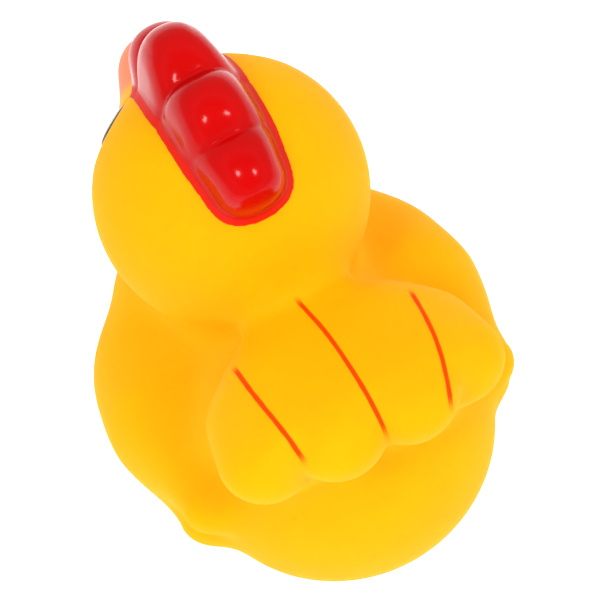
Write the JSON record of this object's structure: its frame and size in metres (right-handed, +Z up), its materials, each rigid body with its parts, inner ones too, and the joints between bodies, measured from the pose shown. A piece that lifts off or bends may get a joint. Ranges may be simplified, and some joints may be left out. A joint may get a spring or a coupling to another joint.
{
  "type": "squeaky toy chicken",
  "caption": "Small hollow soft-vinyl toy hen with a round head, lobed comb, raised scalloped tail, folded wings and a reed squeaker pressed into its flat base.",
  "frame": {"origin": "middle of the length and width, on the surface the flat base stands on", "axes": "+Z up, the hen faces -Y, its left side is +X"},
  "size_m": [0.0648, 0.0894, 0.0799],
  "materials": {
    "yellow_vinyl": "satin soft vinyl, warm egg-yolk yellow",
    "comb_paint": "glossy red paint over vinyl",
    "beak_paint": "satin orange-red paint over vinyl",
    "eye_paint": "glossy black paint",
    "squeaker_plastic": "natural polythene, slightly milky",
    "reed_film": "clear hard film"
  },
  "bodies": {
    "toy": {"body_skin": "yellow_vinyl", "head_skin": "yellow_vinyl", "wing_left": "yellow_vinyl", "wing_right": "yellow_vinyl", "tail_fan": "yellow_vinyl", "comb": "comb_paint", "beak_upper": "beak_paint", "beak_lower": "beak_paint", "eye_left": "eye_paint", "eye_right": "eye_paint", "squeaker_housing": "squeaker_plastic", "squeaker_grille": "squeaker_plastic", "reed_block": "squeaker_plastic", "reed_clamp": "squeaker_plastic"},
    "reed": {"reed": "reed_film"}
  },
  "joints": [
    {"name": "reed_flex", "type": "hinge", "parent": "toy", "child": "reed", "pos_m": [0, 0.00607, 0.0048], "axis": [-1, 0, 0], "range_deg": [0, 4], "stiffness_Nm_per_rad": 0.0003}
  ]
}
